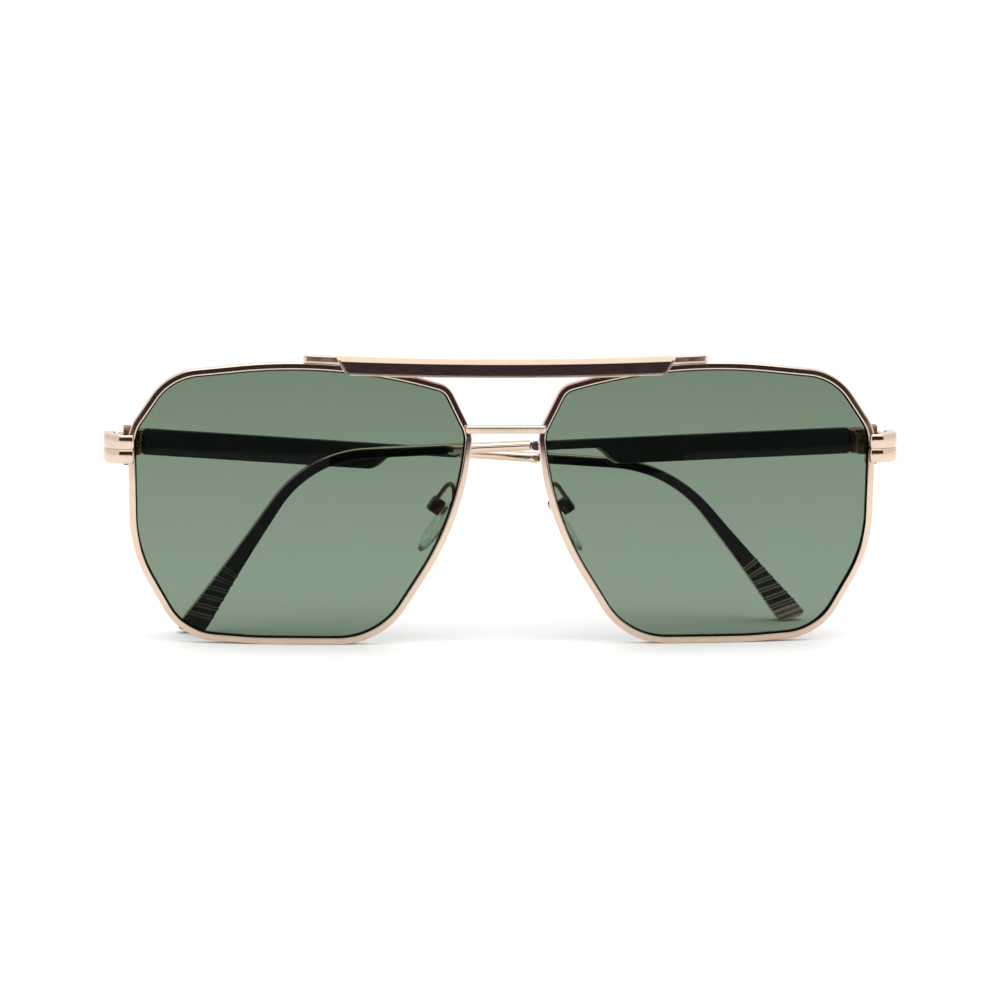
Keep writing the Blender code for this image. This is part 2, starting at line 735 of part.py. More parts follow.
def pad_matrix(side):
    g = side.sign
    along_pad, width, facing = pad_axes(g)
    x, y, z = PAD_BOX
    origin = Vector((g * x, y + FRONT_Y, z)) * MM
    return axes_matrix(origin, along_pad, width * -g, facing)


def build():
    front = new_empty("front_axes", Matrix.Translation((0, FRONT_Y * MM, 0)))
    middle = Place(front, (1, 1, 1))
    brow(middle)
    bridge(middle)
    for side in (LEFT, RIGHT):
        g = side.sign
        place = Place(front, (g, 1, 1))
        rim(side, place)
        lens(side, place)
        endpiece(side, place)
        rim_lock(side, place)

        pad_arm(side, place)

        pin = new_empty("hinge_axes_" + side.name, pin_matrix(side))
        front_hinge(side, Place(pin, (g, 1, 1)))

        arm = new_empty("temple_axes_" + side.name, hinge_matrix(side, math.radians(side.opened)))
        place = Place(arm, (1, -g, 1))
        temple_shell(side, place)
        temple_lining(side, place)
        temple_tip(side, place)
        temple_hinge(side, place)

        pad = new_empty("pad_axes_" + side.name, pad_matrix(side))
        nose_pad(side, Place(pad, (1, -g, 1)))


clear_scene()
PARTS = new_collection("navigator_sunglasses")
CUTTERS = new_collection("cutters")
build()
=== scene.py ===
"""Square navigator sunglasses with a double bridge, folded, standing on rims and temple tips.

Lengths are in millimetres and are turned to metres as each mesh is made. +X is the wearer's left,
+Y points back towards the wearer and +Z is up. Pieces of the front are drawn for the left side and
reflected for the right one. A temple is drawn in its own axes: s along the arm from the hinge pin,
t out from the pin, h up the pin.
"""

import json
import math
from types import SimpleNamespace

import bpy
import bmesh
import numpy as np
from mathutils import Matrix, Vector

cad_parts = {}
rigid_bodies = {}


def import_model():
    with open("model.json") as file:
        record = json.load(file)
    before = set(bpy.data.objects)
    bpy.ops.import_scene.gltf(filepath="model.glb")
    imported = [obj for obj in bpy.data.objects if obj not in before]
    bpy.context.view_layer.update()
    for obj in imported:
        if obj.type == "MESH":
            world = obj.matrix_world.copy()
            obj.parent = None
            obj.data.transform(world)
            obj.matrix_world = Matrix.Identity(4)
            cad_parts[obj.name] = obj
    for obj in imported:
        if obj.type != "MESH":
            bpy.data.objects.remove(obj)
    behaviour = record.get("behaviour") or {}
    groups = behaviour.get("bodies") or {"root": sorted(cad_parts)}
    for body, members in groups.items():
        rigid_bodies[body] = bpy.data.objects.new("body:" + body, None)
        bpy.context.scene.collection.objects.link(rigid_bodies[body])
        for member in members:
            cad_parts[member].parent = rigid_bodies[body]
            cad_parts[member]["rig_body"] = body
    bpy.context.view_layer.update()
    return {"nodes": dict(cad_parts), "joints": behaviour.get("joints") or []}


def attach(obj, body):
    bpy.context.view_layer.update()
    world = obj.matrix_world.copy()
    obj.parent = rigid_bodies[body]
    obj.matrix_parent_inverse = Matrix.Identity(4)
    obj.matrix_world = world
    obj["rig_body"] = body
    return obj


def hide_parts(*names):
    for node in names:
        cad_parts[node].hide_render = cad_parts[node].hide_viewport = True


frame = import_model()
JOINTS = {joint["name"]: joint for joint in frame["joints"]}

MM = 0.001
FRONT_Y = -14.4                 # the front's zero plane
GAP = 0.1                       # between pieces that don't touch
BROKEN_EDGE = 0.09              # the bevel on screws, leaves and locks

# Rims: corners of the outer outline as (x, z, radius), from the split at the hinge side
RIM_CORNERS = [
    (68.1, 35.5, 0.0),
    (68.2, 38.8, 8.0),
    (61.0, 49.5, 11.5),
    (30.6, 53.0, 92.0),
    (10.2, 47.3, 4.0),
    (5.9, 38.6, 6.5),
    (7.5, 23.4, 55.0),
    (22.1, 0.0, 14.5),
    (45.0, 0.0, 66.0),
    (58.5, 0.8, 11.5),
    (67.7, 17.0, 25.0),
]
RIM_WIDTH = 1.2
RIM_DEPTH = 2.4
GROOVE_DEPTH = 0.7
GROOVE_WIDTH = 1.5
SPLIT_GAP = 0.3
LENS_X = 37.0
LENS_Z = 27.0
DISH_RADIUS = 150.0
WRAP = math.radians(4.0)
LENS_THICKNESS = 1.3

# Brow and bridge
BROW_BOW = 0.65
BROW_HALF = 31.0
PLATE_TOP = 52.35
PLATE_HEIGHT = 3.45
PLATE_SLANT = 1.9
PLATE_CORNER = 0.85
PLATE_FRONT = -1.05
PLATE_THICKNESS = 1.1
INLAY_TOP = 1.05
INLAY_BOTTOM = 0.45
INLAY_DEPTH = 0.3
BACK_HALF = 36.7
BACK_TOP = 52.05
BACK_HEIGHT = 1.25
BRIDGE_HALF = 7.4
BRIDGE_Z = 39.55
BRIDGE_HEIGHT = 1.57
BRIDGE_FRONT = -1.1
BRIDGE_THICKNESS = 1.2

# Endpieces
SPLIT_Z = 35.5
OUTER_X = 72.5
WING_INNER_X = 70.1
WING_END_Y = 10.2
LOBE_HEIGHT = 2.6

# Temples
INNER_T = 3.1
SHELL_T = 4.55
OUTER_T = 6.1
BUTT_S = -1.2
PANEL_HALF = 2.45
SHELL_TOP = 2.15
STEP_S = (43.6, 48.3)
ARM_HALF = 0.9
ARM_H = 1.55
LINING_START = 1.5
LINING_END = 60.3
SLEEVE_START = 75.4
TIP_HALF = 2.35
TIP_GROWTH = 2.6
TIP_CORNER = 1.0
TIP_SKEW = math.radians(20.0)
METAL_EDGE = 0.08               # how much metal shows beside the lining and the grip
RIB_COUNT = 6
RIB_PITCH = 1.9
LAST_RIB = 1.3                  # from the last rib to where the tip stops growing
BAND_WIDTH = 0.34
LINE_OFFSET = 0.3
LINE_WIDTH = 0.13

# Nose pads
PAD_ANGLE = math.radians(35.0)
PAD_SPLAY = math.radians(7.0)
PAD_BOX = (11.55, 8.0, 24.3)
PAD_OFFSET = 1.9
PAD_LENGTH = 11.0
PAD_WIDTH = 7.4
PAD_ABOVE = 2.4


# ---------------------------------------------------------------- materials

def linear(hex_colour):
    """An sRGB hex colour as linear RGBA."""
    part = np.array([int(hex_colour[i:i + 2], 16) for i in (1, 3, 5)]) / 255
    value = np.where(part <= 0.04045, part / 12.92, ((part + 0.055) / 1.055) ** 2.4)
    return (*value.tolist(), 1.0)


def add(tree, kind, inputs=None, **settings):
    """Adds a node. An input's value is a number, a colour or another node's output."""
    node = tree.nodes.new(kind)
    for name, value in settings.items():
        setattr(node, name, value)
    for socket, value in (inputs or {}).items():
        if isinstance(value, bpy.types.NodeSocket):
            tree.links.new(value, node.inputs[socket])
        else:
            node.inputs[socket].default_value = value
    return node


def new_material(name, **sockets):
    """A Principled material with the given socket values, and its Object coordinates."""
    material = bpy.data.materials.new(name)
    material.use_nodes = True
    tree = material.node_tree
    shader = tree.nodes["Principled BSDF"]
    for socket, value in sockets.items():
        shader.inputs[socket.replace("_", " ")].default_value = value
    return material, tree, shader, add(tree, "ShaderNodeTexCoord").outputs["Object"]


def link(tree, shader, socket, output):
    """Feeds a shader's socket from a node's output."""
    tree.links.new(output, shader.inputs[socket])


def noise(tree, where, size_mm, detail=2.0):
    """Noise whose blotches are about size_mm across."""
    return add(tree, "ShaderNodeTexNoise", {
        "Vector": where, "Scale": 1000 / size_mm, "Detail": detail})


def ramp(tree, factor, low, high):
    """Maps a factor of 0.3 to 0.7, where noise lies, to low to high."""
    return add(tree, "ShaderNodeMapRange", {
        "Value": factor, "From Min": 0.3, "From Max": 0.7, "To Min": low, "To Max": high,
    }, clamp=True).outputs["Result"]


def blend(tree, factor, first, second):
    """A mix of two colours, each a colour or a node's output."""
    mix = add(tree, "ShaderNodeMix", data_type="RGBA")
    for socket, value in ((0, factor), (6, first), (7, second)):
        if isinstance(value, bpy.types.NodeSocket):
            tree.links.new(value, mix.inputs[socket])
        else:
            mix.inputs[socket].default_value = value
    return mix.outputs[2]


def bump(tree, shader, height, strength, depth_mm):
    """Fine relief, depth_mm high where the height factor is 1."""
    made = add(tree, "ShaderNodeBump", {
        "Height": height, "Strength": strength, "Distance": depth_mm * MM})
    link(tree, shader, "Normal", made.outputs["Normal"])


def rose_gold_plating(name, colour, shade, rough, recess=False):
    """Copper-nickel alloy, barrel polished and plated in pale rose gold.

    The polish leaves soft 1.2 mm waves and a haze that changes over a few millimetres, so its
    reflections are bright with slightly wandering edges. The plating is a little redder where it
    is thin. On a rim the groove and the inner wall are painted dark brown, as painted shade.
    """
    material, tree, shader, where = new_material(name, Metallic=1.0)
    haze = noise(tree, where, 3.5).outputs["Fac"]
    tone = blend(tree, ramp(tree, haze, 0.0, 1.0), linear(colour), linear(shade))
    if recess:
        inside = add(tree, "ShaderNodeAttribute", attribute_name="recess").outputs["Fac"]
        # painted shade: the rim's groove and inner wall are blended to dark brown
        tone = blend(tree, inside, tone, linear("#2A1712"))
    link(tree, shader, "Base Color", tone)
    link(tree, shader, "Roughness", ramp(tree, haze, rough * 0.75, rough * 1.35))
    waves = noise(tree, where, 1.2, 3.0).outputs["Fac"]
    bump(tree, shader, waves, strength=0.10, depth_mm=0.02)
    return material


def baked_enamel():
    """Glossy brown-black enamel in the brow's pocket: a deep face with faint brush streaks."""
    material, tree, shader, where = new_material(
        "baked_enamel_brown_black", IOR=1.52, Specular_IOR_Level=0.3)
    squeeze = add(tree, "ShaderNodeMapping", {"Vector": where, "Scale": (0.12, 1.0, 1.0)})
    streaks = noise(tree, squeeze.outputs["Vector"], 0.35, 4.0).outputs["Fac"]
    link(tree, shader, "Base Color", blend(
        tree, ramp(tree, streaks, 0.0, 1.0), linear("#211013"), linear("#301B1D")))
    link(tree, shader, "Roughness", ramp(tree, streaks, 0.12, 0.28))
    bump(tree, shader, streaks, strength=0.15, depth_mm=0.02)
    return material


def black_acetate(name, low, high, rough):
    """Blue-black cellulose acetate, tumbled to a gloss: slight orange peel and a soft haze.

    The tips' rib grooves are painted pale tan, as painted highlights. On one side the tip's end is
    painted pale too, with dark streaks, a painted reflection of the floor.
    """
    material, tree, shader, where = new_material(name, IOR=1.49, Specular_IOR_Level=0.2)
    cloud = noise(tree, where, 2.5, 3.0).outputs["Fac"]
    tone = blend(tree, ramp(tree, cloud, 0.0, 1.0), linear(low), linear(high))
    worn = add(tree, "ShaderNodeAttribute", attribute_name="worn").outputs["Fac"]
    # painted highlight and painted reflection: pale tan where the attribute marks them
    link(tree, shader, "Base Color", blend(tree, worn, tone, linear("#E2C8B8")))
    link(tree, shader, "Roughness", ramp(tree, cloud, rough * 0.7, rough * 1.4))
    bump(tree, shader, noise(tree, where, 0.6).outputs["Fac"], strength=0.12, depth_mm=0.01)
    return material


def tinted_lens():
    """Grey-green polycarbonate lens, cast and hard coated. Its colour is darker towards the top,
    painted shade for the darker reflections there.

    The coating kills reflections, so the index is set low. A band along its edge is painted near
    black, painted shade where the lens sits in the rim's groove, and shows as a dark line inside
    the rim.
    """
    material, tree, shader, where = new_material(
        "grey_green_lens", IOR=1.15, Roughness=0.0, Transmission_Weight=1.0)
    height = add(tree, "ShaderNodeSeparateXYZ", {"Vector": where}).outputs["Z"]
    rise = add(tree, "ShaderNodeMapRange", {
        "Value": height, "From Min": 0.005, "From Max": 0.050}).outputs["Result"]
    # painted shade: the colour darkens towards the top
    tone = blend(tree, rise, linear("#7A8A7A"), linear("#6A7968"))
    edge = add(tree, "ShaderNodeAttribute", attribute_name="edge").outputs["Fac"]
    # painted shade: the band along the edge is blended to near black
    link(tree, shader, "Base Color", blend(tree, edge, tone, linear("#0B0D0B")))
    return material


def clear_silicone():
    """Water-clear moulded silicone of the nose pads, with a slightly dull skin."""
    material, tree, shader, where = new_material(
        "clear_silicone", IOR=1.41, Transmission_Weight=1.0)
    skin = noise(tree, where, 1.5).outputs["Fac"]
    link(tree, shader, "Base Color", blend(
        tree, ramp(tree, skin, 0.0, 1.0), linear("#F2F7F3"), linear("#E4ECE6")))
    link(tree, shader, "Roughness", ramp(tree, skin, 0.02, 0.09))
    return material


ROSE_GOLD = ("#DCC6B4", "#D7BFAC", 0.10)    # colour, shade and roughness
RIM_GOLD = rose_gold_plating("rose_gold_plating_rims", *ROSE_GOLD, recess=True)
GOLD = rose_gold_plating("rose_gold_plating", *ROSE_GOLD)
# painted shade: hinges, screws, locks, pad wires and temple butts are a darker copy of the plating
HINGE_GOLD_PAINTED_SHADE = rose_gold_plating("rose_gold_plating_hinges", "#B8937A", "#9F7A62", 0.25)
# painted shade: the pad boxes are the rose-gold plating painted near black-brown
BOX_GOLD_PAINTED_SHADE = rose_gold_plating("brown_nickel_pad_boxes", "#3C2E29", "#2E2420", 0.30)
ENAMEL = baked_enamel()
# painted light: the lining is a lighter grey copy of the tip's black acetate
LINING_BLACK_PAINTED_LIGHT = black_acetate("black_acetate_lining", "#494751", "#52505B", 0.10)
TIP_BLACK = black_acetate("black_acetate_tip", "#222328", "#2A2B31", 0.18)
LENS = tinted_lens()
SILICONE = clear_silicone()


# ---------------------------------------------------------------- meshes

def tube_faces(rows, columns):
    """Quads between neighbouring rows of points, where each row closes on itself."""
    i = np.arange(rows - 1)[:, None] * columns
    j = np.arange(columns)[None]
    k = (j + 1) % columns
    return np.stack([i + j, i + columns + j, i + columns + k, i + k], axis=-1).reshape(-1, 4)


def closed_tube(rows):
    """Points and faces of closed rows, with a fan from the middle of the first and the last row."""
    count, columns = rows.shape[:2]
    points = np.concatenate([rows.reshape(-1, 3), rows[[0, -1]].mean(axis=1)])
    j = np.arange(columns)
    k = (j + 1) % columns
    last = (count - 1) * columns
    first_fan = np.stack([np.full(columns, count * columns), j, k], axis=-1)
    last_fan = np.stack([np.full(columns, count * columns + 1), last + k, last + j], axis=-1)
    return points, [*tube_faces(count, columns).tolist(), *first_fan.tolist(), *last_fan.tolist()]


def facing_out(points, faces):
    """The faces, turned round if the closed surface holds a negative volume."""
    fans = [(f[0], f[i], f[i + 1]) for f in faces for i in range(1, len(f) - 1)]
    corner = points[np.array(fans)]
    volume = np.linalg.det(corner - points.mean(axis=0)).sum()
    return faces if volume > 0 else [face[::-1] for face in faces]


def new_piece(name, points, faces, material, body, slot, *nodes, attribute=None, crease=40.0):
    """One finished piece in the row frame, from points in millimetres."""
    mesh = bpy.data.meshes.new(name)
    mesh.from_pydata((points * MM).tolist(), [], facing_out(points, faces))
    if attribute:
        layer = mesh.attributes.new(attribute[0], "FLOAT", "POINT")
        layer.data.foreach_set("value", attribute[1].astype(np.float32))
    mesh.materials.append(material)
    mesh.shade_smooth()
    mesh.set_sharp_from_angle(angle=math.radians(crease))
    obj = bpy.data.objects.new(name, mesh)
    bpy.context.scene.collection.objects.link(obj)
    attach(obj, body)
    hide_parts(*nodes)


def finer(node, material):
    """A CAD node's own shape with its edges broken by a small bevel."""
    source = frame["nodes"][node]
    data = bmesh.new()
    data.from_mesh(source.data)
    bmesh.ops.remove_doubles(data, verts=data.verts, dist=1e-6)
    bmesh.ops.dissolve_limit(
        data, angle_limit=math.radians(1.0), verts=data.verts, edges=data.edges)
    mesh = bpy.data.meshes.new(node + "_finished")
    data.to_mesh(mesh)
    data.free()
    mesh.materials.clear()
    mesh.materials.append(material)
    mesh.shade_smooth()
    mesh.set_sharp_from_angle(angle=math.radians(40))
    obj = bpy.data.objects.new(node + "_finished", mesh)
    bpy.context.scene.collection.objects.link(obj)
    edges = obj.modifiers.new("broken_edges", "BEVEL")
    edges.width = BROKEN_EDGE * MM
    edges.segments = 3
    edges.limit_method = "ANGLE"
    edges.angle_limit = math.radians(40)
    edges.harden_normals = True
    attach(obj, source["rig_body"])
    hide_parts(node)


# ---------------------------------------------------------------- outlines and sections

def rounded_outline(corners, count, start=0.0, stop=0.0):
    """Evenly spaced points along a polygon whose corners are arcs, as (count, 2).

    Each arc touches its two sides radius * tan(turn / 2) from the corner. The walk begins at the
    first corner, start further on, and ends stop before it comes round again.
    """
    table = np.array(corners, float)
    corner = table[:, 0] + 1j * table[:, 1]
    radius = table[:, 2]
    before = corner - np.roll(corner, 1)
    before /= abs(before)
    after = np.roll(before, -1)
    turn = np.angle(after / before)
    touch = corner - before * radius * np.tan(abs(turn) / 2)
    centre = touch + 1j * before * radius * np.sign(turn)
    share = np.linspace(0, 1, 33)
    arcs = centre[:, None] + (touch - centre)[:, None] * np.exp(1j * turn[:, None] * share)
    line = np.append(arcs.ravel(), arcs[0, 0])
    line = line[np.append(True, abs(np.diff(line)) > 1e-9)]
    length = np.append(0, np.cumsum(abs(np.diff(line))))
    at = np.linspace(start, length[-1] - stop, count, endpoint=bool(start or stop))
    found = np.interp(at, length, line.real) + 1j * np.interp(at, length, line.imag)
    return np.stack([found.real, found.imag], axis=-1)


def shrunk(corners, distance):
    """The corners of an anticlockwise outline, moved in by a distance."""
    table = np.array(corners, float)
    corner = table[:, 0] + 1j * table[:, 1]
    before = corner - np.roll(corner, 1)
    before /= abs(before)
    after = np.roll(before, -1)
    inward = 1j * (before + after) / (1 + (before * after.conj()).real)
    moved = corner + inward * distance
    radius = np.where(table[:, 2] > 0, np.maximum(table[:, 2] - distance, 0.05), 0)
    return np.stack([moved.real, moved.imag, radius], axis=-1)


def outward(outline, closed=True):
    """Unit normals of an anticlockwise line of points, to its right."""
    if closed:
        along = np.roll(outline, -1, axis=0) - np.roll(outline, 1, axis=0)
    else:
        along = np.gradient(outline, axis=0)
    normal = np.stack([along[:, 1], -along[:, 0]], axis=-1)
    return normal / np.linalg.norm(normal, axis=1, keepdims=True)


def rounded_section(half_a, half_b, radius, arc=6):
    """Rows of points round rectangles 2a by 2b whose corners are arcs, as (rows, points, 2).

    One more point stands just past each end of an arc, so that the flats shade as flats.
    """
    a, b = np.broadcast_arrays(half_a, half_b)
    radius = np.minimum(radius, 0.97 * np.minimum(a, b))
    margin = np.minimum(0.06, 0.3 * (np.minimum(a, b) - radius))
    quarter = np.arange(4)[:, None] * np.pi / 2
    angle = quarter + np.concatenate([[0], np.linspace(0, np.pi / 2, arc), [np.pi / 2]])
    past = np.concatenate([[-1], np.zeros(arc), [1]])[None].repeat(4, axis=0)
    side_a = np.array([1, -1, -1, 1])[:, None].repeat(arc + 2, axis=1)
    side_b = np.array([1, 1, -1, -1])[:, None].repeat(arc + 2, axis=1)
    angle, past, side_a, side_b = (v.ravel() for v in (angle, past, side_a, side_b))
    u = side_a * (a - radius)[:, None] + radius[:, None] * np.cos(angle)
    v = side_b * (b - radius)[:, None] + radius[:, None] * np.sin(angle)
    u -= past * margin[:, None] * np.sin(angle)
    v += past * margin[:, None] * np.cos(angle)
    return np.stack([u, v], axis=-1)


def pulled_in(distance, radius):
    """How far a rounded corner has drawn the edge in, at a distance from the end."""
    left = radius - np.clip(distance, 0, radius)
    return radius - np.sqrt(np.maximum(radius * radius - left * left, 0))


def stations(start, end, count, first, last):
    """Places from start to end, closer together over the first and last ends' radii."""
    ease = 1 - np.cos(np.linspace(0, np.pi / 2, 14))
    return np.unique(np.round(np.concatenate([
        np.linspace(start, end, count), start + first * ease, end - last * ease]), 4))


def dish(x, z):
    """How far back the lens surface lies: a lean of WRAP across, plus a sphere of DISH_RADIUS."""
    u = np.abs(x) - LENS_X
    v = z - LENS_Z
    return math.tan(WRAP) * u + (u * u + v * v) / (2 * DISH_RADIUS)


def in_front(x, y, z, sign=1):
    """Points of the front, from its zero plane, in the row frame."""
    x, y, z = np.broadcast_arrays(x, y, z)
    return np.stack([sign * x, y + FRONT_Y, z], axis=-1)


# ---------------------------------------------------------------- the front

def rim(side):
    """The rim: a section carried along the rounded outline, following the lens's dish.

    The section is (out, back) with a radius for each corner. Its front is flat between two narrow
    chamfers, and a square groove for the lens is cut in its inner side.
    """
    outline = rounded_outline(shrunk(RIM_CORNERS, RIM_WIDTH / 2), 560, SPLIT_GAP / 2, SPLIT_GAP / 2)
    normal = outward(outline, closed=False)
    w = RIM_WIDTH / 2
    d = RIM_DEPTH / 2
    g = GROOVE_WIDTH / 2
    floor = w - GROOVE_DEPTH
    section = [
        (-w, g, 0.0), (-floor, g, 0.0), (-floor, -g, 0.0), (-w, -g, 0.0),
        (-w, 0.1 - d, 0.06), (-0.42, -d, 0.12), (0.46, -d, 0.12), (w, 0.16 - d, 0.1),
        (w, d - 0.1, 0.3), (0.2, d, 0.3), (-w, d, 0.15),
    ]
    section = rounded_outline(section, 110)
    out = section[:, 0]
    back = section[:, 1]
    x = outline[:, :1] + normal[:, :1] * out
    z = outline[:, 1:] + normal[:, 1:] * out
    rows = in_front(x, dish(x, z) + back, z, side.sign)
    points, faces = closed_tube(rows)
    # painted shade: the inner wall and the groove are marked to be painted dark brown
    inner_wall = np.clip((0.08 - w - out) / 0.05, 0, 1) * (back > -d + 0.25)
    in_groove = (np.abs(back) < g + 0.02) * (out < -floor + 0.02)
    deep = np.clip(inner_wall + in_groove, 0, 1)
    recess = np.append(np.tile(deep, len(outline)), (0, 0))
    new_piece(f"rim_{side.name}_finished", points, faces, RIM_GOLD, "front", "gold_metal",
              f"rim_{side.name}", attribute=("recess", recess))


def lens(side):
    """The lens: rings from its middle out to the edge on the front, and back in on the rear face.

    The outer rings keep a set distance from the edge, and the inner ones shrink to the middle.
    """
    corners = shrunk(RIM_CORNERS, RIM_WIDTH - GROOVE_DEPTH + GAP)
    outline = rounded_outline(corners, 420)
    normal = outward(outline)
    inset = np.array([0.0, 0.1, 0.3, 0.5, 0.7, 0.85, 0.95, 1.1, 1.4, 1.8])
    near = outline[None] - normal[None] * inset[:, None, None]
    middle = np.array([LENS_X, LENS_Z])
    far = middle + (near[-1] - middle)[None] * np.linspace(0.94, 0.02, 26)[:, None, None]
    rings = np.concatenate([near, far])
    thin = np.full(len(rings), LENS_THICKNESS / 2)
    thin[0] -= 0.1
    x = rings[..., 0]
    z = rings[..., 1]
    face = in_front(x, dish(x, z) - thin[:, None], z, side.sign)
    rear = in_front(x, dish(x, z) + thin[:, None], z, side.sign)
    rows = np.concatenate([face[::-1], rear])
    points, faces = closed_tube(rows)
    distance = np.concatenate([inset, np.full(len(far), 9.0)])
    # the outer band of the lens, marked for painted shade
    edge = np.clip((0.95 - distance) / 0.1, 0, 1)
    edge = np.concatenate([edge[::-1], edge]).repeat(len(outline))
    new_piece(f"lens_{side.name}_finished", points, faces, LENS, "front", "lens_tint",
              f"lens_{side.name}", attribute=("edge", np.append(edge, (0, 0))), crease=50)


def bow(x):
    """How far the brow has risen at x: a parabola."""
    return BROW_BOW * (x / BROW_HALF) ** 2


def bar(name, half, section, slant, material, slot, node, edge, curved=True, corner=0.0):
    """A bar along X: at each place its (z, y) section, drawn in near the ends to round them.

    With a slant the ends lean: a point's x is scaled by its height, so the top is the longest. The
    lower corners are arcs of radius corner.
    """
    share = stations(-half, half, 90, edge, edge) / half
    z = section[:, 0]
    y = section[:, 1]
    low = z.min()
    height = z.max() - low
    draw = pulled_in((1 - np.abs(share)) * half, edge)[:, None]
    middle_z = low + height / 2
    middle_y = (y.max() + y.min()) / 2
    thick = (y.max() - y.min()) / 2
    z = middle_z + (z - middle_z) * (1 - 2 * draw / height)
    y = middle_y + (y - middle_y) * (1 - draw / thick)
    x = share[:, None] * (half - slant * (1 - (z - low) / height) - pulled_in(z - low, corner))
    lift = bow(x) if curved else 0.0
    points, faces = closed_tube(in_front(x, y, z + lift))
    new_piece(name, points, faces, material, "front", slot, node)


def brow():
    """The backing bar, the plate with its bright upper chamfer and pocket, and the enamel."""
    back = PLATE_FRONT + PLATE_THICKNESS + GAP
    low = BACK_TOP - BACK_HEIGHT
    section = rounded_outline([
        (low, back, 0.18), (low, back + 2.1, 0.3),
        (BACK_TOP, back + 2.1, 0.3), (BACK_TOP, back, 0.18),
    ][::-1], 90)
    bar("brow_bar_finished", BACK_HALF, section, 0.0, GOLD, "gold_metal", "brow_bar", edge=0.5)

    bottom = PLATE_TOP - PLATE_HEIGHT
    front = PLATE_FRONT
    rear = PLATE_FRONT + PLATE_THICKNESS
    shelf = PLATE_TOP - INLAY_TOP
    floor = front + INLAY_DEPTH
    section = rounded_outline([
        (bottom, front, 0.12), (bottom, rear, 0.12), (PLATE_TOP, rear, 0.1),
        (PLATE_TOP, front + 0.62, 0.1), (shelf + 0.08, front, 0.08), (shelf, front, 0.02),
        (shelf, floor, 0.0), (bottom + INLAY_BOTTOM, floor, 0.0),
        (bottom + INLAY_BOTTOM, front, 0.04),
    ][::-1], 260)
    bar("brow_plate_finished", BROW_HALF, section, PLATE_SLANT, GOLD, "gold_metal", "brow_plate",
        edge=0.15, corner=PLATE_CORNER)

    top = shelf - 0.04
    sill = bottom + INLAY_BOTTOM + 0.04
    face = front + 0.03
    section = rounded_outline([
        (sill, face, 0.06), (sill, floor - 0.02, 0.02),
        (top, floor - 0.02, 0.02), (top, face, 0.06),
    ][::-1], 80)
    share = PLATE_SLANT / PLATE_HEIGHT
    half = BROW_HALF - share * INLAY_TOP - 0.55
    bar("brow_inlay_finished", half, section, share * (top - sill), ENAMEL, "dark_enamel",
        "brow_inlay", edge=0.2, corner=0.55)


def brow_ends(sign):
    """A slanted closing wall at each end of the pocket."""
    bottom = PLATE_TOP - PLATE_HEIGHT + 0.1
    shelf = PLATE_TOP - INLAY_TOP
    z = np.concatenate([bottom + np.linspace(0, 1, 24) ** 2 * 1.2, [shelf, shelf + 0.3]])
    above = z - (PLATE_TOP - PLATE_HEIGHT)
    outer = BROW_HALF - PLATE_SLANT * (1 - above / PLATE_HEIGHT)
    outer = outer - pulled_in(above, PLATE_CORNER) - 0.03
    section = rounded_section(np.full(26, 0.26), np.full(26, INLAY_DEPTH / 2 + 0.02), 0.08)
    x = (outer - 0.26)[:, None] + section[..., 0]
    y = PLATE_FRONT + INLAY_DEPTH / 2 + 0.02 + section[..., 1]
    z = z[:, None] + bow(x)
    points, faces = closed_tube(in_front(x, y, z, sign))
    name = "left" if sign > 0 else "right"
    new_piece(f"brow_plate_end_{name}", points, faces, GOLD, "front", "gold_metal", "brow_plate")


def bridge():
    """The lower bar between the rims, domed in section."""
    half = BRIDGE_HEIGHT / 2
    section = rounded_section(
        np.array([half]), np.array([BRIDGE_THICKNESS / 2]), np.array([0.57]), arc=11)[0]
    section = section + (BRIDGE_Z, BRIDGE_FRONT + BRIDGE_THICKNESS / 2)
    bar("bridge_bar_finished", BRIDGE_HALF, section, 0.0, GOLD, "gold_metal", "bridge_bar",
        curved=False, edge=0.5)


def cushion(outline, low, high, inset, rise):
    """Rows of an outline in plan (x, y) between two heights, its walls domed.

    At share t of the way from the middle height to either end the outline is drawn in by
    inset * t ** 2, a parabola, and by 0.15 * t ** 12, which rounds the edge.
    """
    normal = outward(outline)
    angle = np.linspace(0, np.pi / 2, 12)
    t = np.cos(angle)
    draw = np.concatenate([[inset + 0.3], inset * t ** 2 + 0.15 * t ** 12])
    height = np.concatenate([[0.0], rise * (1 - t)])
    draw = np.concatenate([draw, draw[::-1]])
    height = np.concatenate([low + height, high - height[::-1]])
    plan = outline[None] - normal[None] * draw[:, None, None]
    return plan[..., 0], plan[..., 1], height[:, None]


def endpiece(side):
    """Two cushioned lobes, one above the other, bent from the rim's front back to the hinge."""
    corners = [
        (66.95, 2.7, 0.55), (OUTER_X, 2.7, 4.2), (OUTER_X, WING_END_Y, 0.6),
        (WING_INNER_X, WING_END_Y, 0.6), (WING_INNER_X, 6.85, 0.4), (68.35, 6.3, 0.6),
        (68.35, 3.9, 0.6), (66.95, 3.9, 0.55),
    ]
    outline = rounded_outline(corners, 260)
    for level, low in (("lower", SPLIT_Z - LOBE_HEIGHT + 0.02), ("upper", SPLIT_Z - 0.02)):
        x, y, z = cushion(outline, low, low + LOBE_HEIGHT, 0.17, LOBE_HEIGHT / 2 - 0.05)
        points, faces = closed_tube(in_front(x, y, z, side.sign))
        new_piece(f"endpiece_{level}_lobe_{side.name}", points, faces, GOLD, "front", "gold_metal",
                  f"endpiece_{side.name}")


# ---------------------------------------------------------------- the temples

